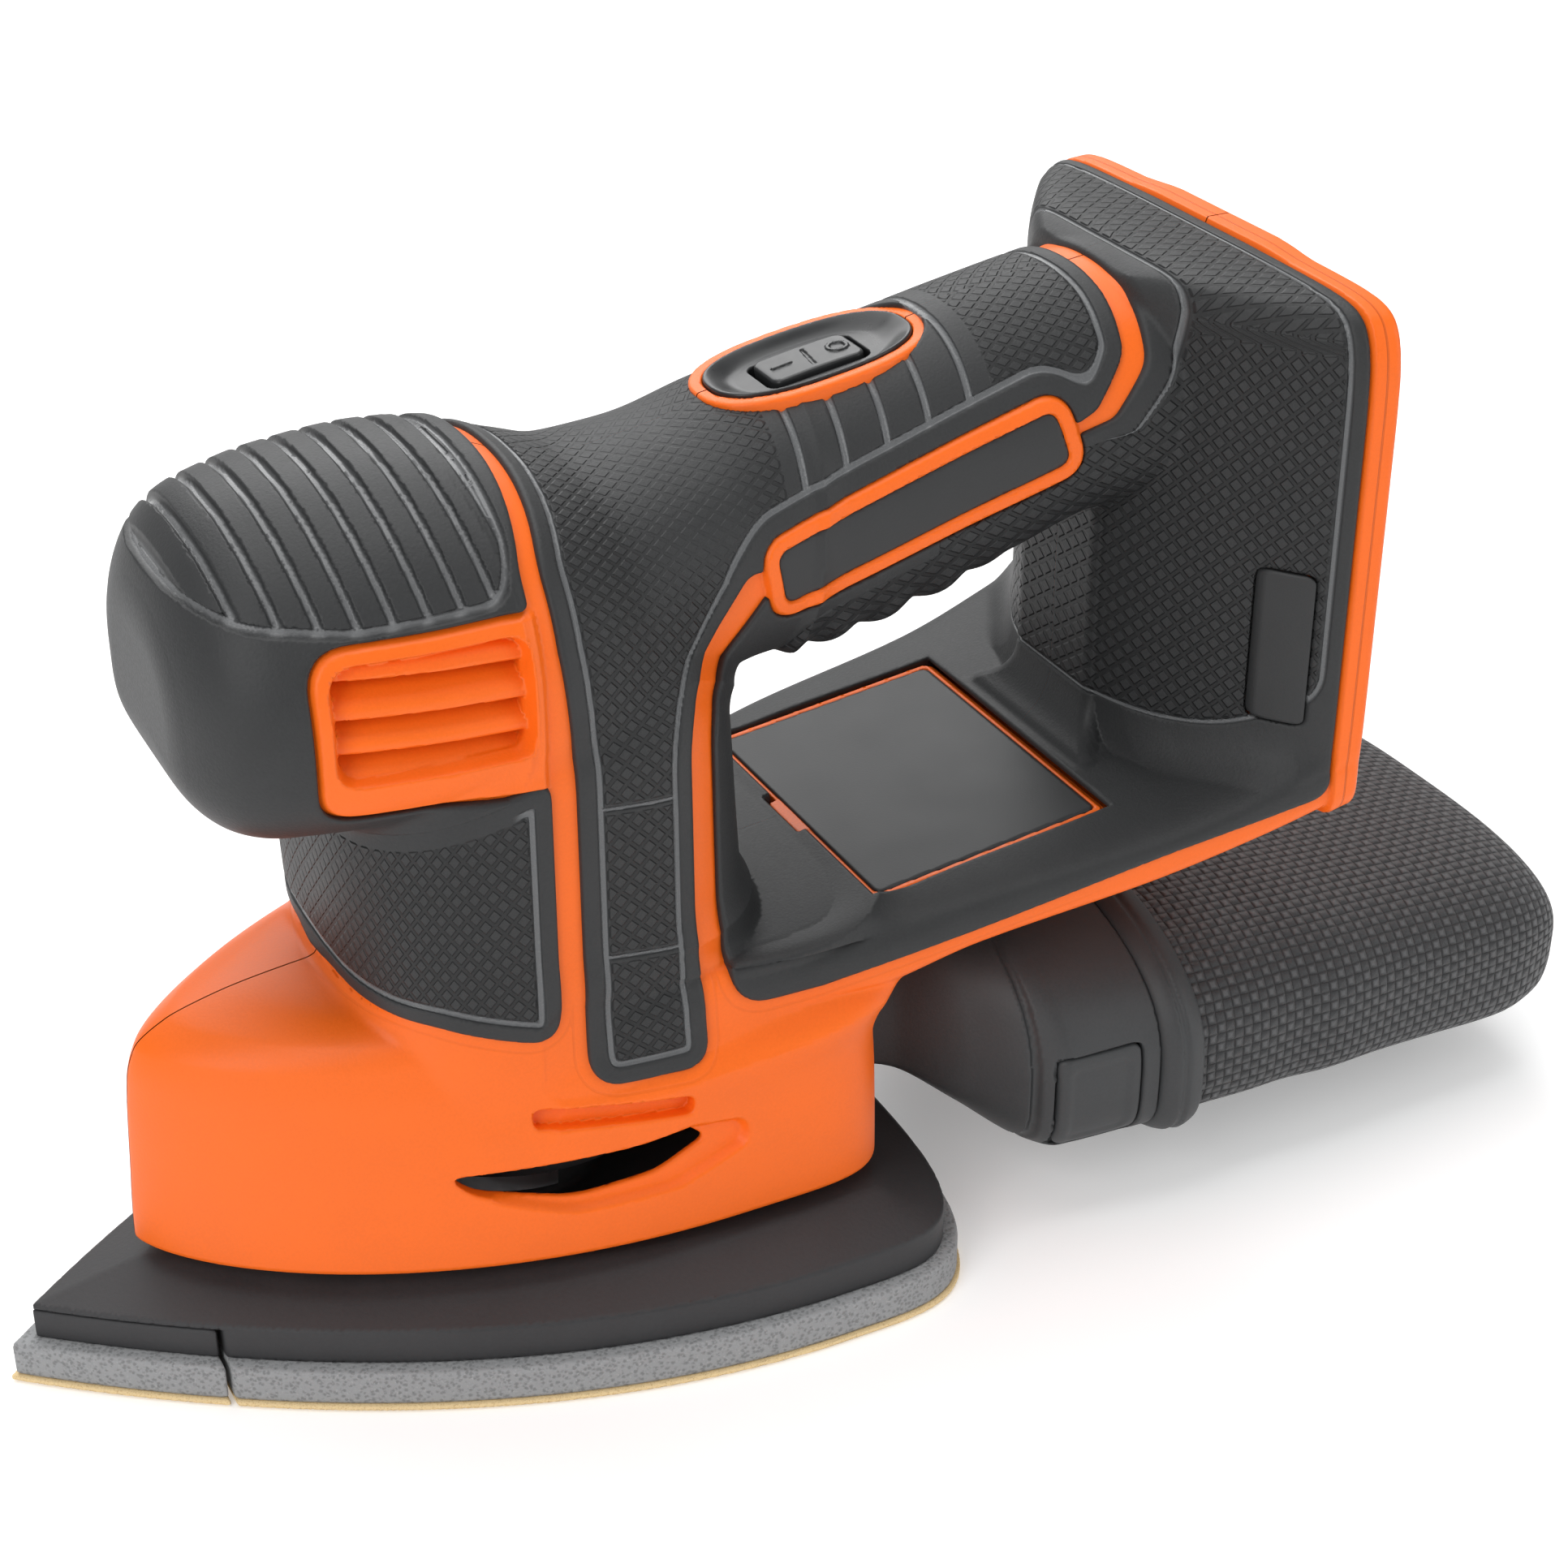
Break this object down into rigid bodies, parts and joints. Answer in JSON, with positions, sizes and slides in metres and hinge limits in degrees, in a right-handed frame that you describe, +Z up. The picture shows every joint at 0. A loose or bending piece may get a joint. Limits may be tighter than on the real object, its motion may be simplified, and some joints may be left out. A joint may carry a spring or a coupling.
{
  "type": "detail mouse sander",
  "caption": "Cordless iron-shaped detail sander with a looped handle, orbiting foam pad, rocker switch, storage hatch and slide-off dust box with a fabric bag.",
  "frame": {"origin": "where the motor's axis meets the sanding face", "axes": "+Z up along the motor's axis, +X from the pointed tip towards the battery end, +Y to the right side when the tip points forward"},
  "size_m": [0.2504, 0.0948, 0.1434],
  "materials": {
    "housing_plastic": "moulded orange plastic, fine spark-eroded texture",
    "soft_grip": "charcoal overmoulded rubber with diamond knurl",
    "plate_dark": "dark satin plastic",
    "boot_rubber": "smooth black rubber",
    "charcoal_plastic": "charcoal moulded plastic, fine texture",
    "black_plastic": "black moulded plastic",
    "steel": "zinc plated steel",
    "magnet": "sintered ferrite",
    "copper": "copper winding and contacts",
    "bronze": "sintered bronze",
    "leg_rubber": "black rubber",
    "foam": "grey hook-backed foam",
    "abrasive": "tan abrasive paper",
    "bag_fabric": "black basket-weave fabric",
    "wire_insulation": "red wire insulation"
  },
  "bodies": {
    "housing": {"housing_left": "housing_plastic", "housing_right": "housing_plastic", "grip_left": "soft_grip", "grip_right": "soft_grip", "front_panel_left": "soft_grip", "front_panel_right": "soft_grip", "foot_panel_left": "soft_grip", "foot_panel_right": "soft_grip", "nose_cap": "soft_grip", "name_plate_left": "plate_dark", "name_plate_right": "plate_dark", "rating_plate_left": "plate_dark", "rating_plate_right": "plate_dark", "housing_screws": "steel", "switch_boot": "boot_rubber", "switch_module": "black_plastic", "storage_tray": "charcoal_plastic", "lid_hinge_pin": "steel", "terminal_block": "black_plastic", "terminal_blades": "copper", "motor_can": "steel", "motor_magnets": "magnet", "motor_end_bell": "black_plastic", "motor_brushes": "black_plastic", "upper_bush": "bronze", "lower_bush": "bronze", "rubber_legs": "leg_rubber", "outlet_seal": "leg_rubber", "battery_wires": "wire_insulation", "motor_wires": "wire_insulation"},
    "rotor": {"motor_shaft": "steel", "armature": "copper", "commutator": "copper", "fan": "black_plastic", "counterweight": "steel", "platen_screw": "steel"},
    "platen": {"platen": "charcoal_plastic", "platen_bearing": "steel", "tip_holder": "charcoal_plastic", "tip_screw": "steel", "foam_pad": "foam", "foam_tip": "foam", "sanding_sheet": "abrasive", "sanding_tip": "abrasive"},
    "rocker": {"switch_rocker": "boot_rubber"},
    "lid": {"storage_lid": "housing_plastic", "storage_lid_panel": "plate_dark"},
    "dust_box": {"dust_funnel": "charcoal_plastic"},
    "bag": {"bag_collar": "charcoal_plastic", "dust_bag": "bag_fabric"},
    "tab_left": {"release_tab_left": "charcoal_plastic"},
    "tab_right": {"release_tab_right": "charcoal_plastic"}
  },
  "joints": [
    {"name": "rotor_spin", "type": "hinge", "parent": "housing", "child": "rotor", "pos_m": [0, 0, 0.06], "axis": [0, 0, 1], "continuous": true},
    {"name": "platen_orbit", "type": "hinge", "parent": "rotor", "child": "platen", "pos_m": [0.0008, 0, 0.015], "axis": [0, 0, 1], "continuous": true},
    {"name": "switch_rock", "type": "hinge", "parent": "housing", "child": "rocker", "pos_m": [0.0511, 0, 0.12569], "axis": [0, 1, 0], "range_deg": [-5, 5]},
    {"name": "lid_hinge", "type": "hinge", "parent": "housing", "child": "lid", "pos_m": [0.08452, 0, 0.06074], "axis": [0, 1, 0], "range_deg": [0, 35]},
    {"name": "dust_box_slide", "type": "slide", "parent": "housing", "child": "dust_box", "axis": [1, 0, 0], "range_m": [0, 0.03]},
    {"name": "bag_slide", "type": "slide", "parent": "dust_box", "child": "bag", "axis": [1, 0, 0], "range_m": [0, 0.02]},
    {"name": "tab_left_press", "type": "slide", "parent": "dust_box", "child": "tab_left", "axis": [0, 1, 0], "range_m": [0, 0.0015], "stiffness_N_per_m": 2000},
    {"name": "tab_right_press", "type": "slide", "parent": "dust_box", "child": "tab_right", "axis": [0, -1, 0], "range_m": [0, 0.0015], "stiffness_N_per_m": 2000}
  ],
  "couplings": [
    {"joint": "platen_orbit", "follows": "rotor_spin", "ratio": -1}
  ]
}
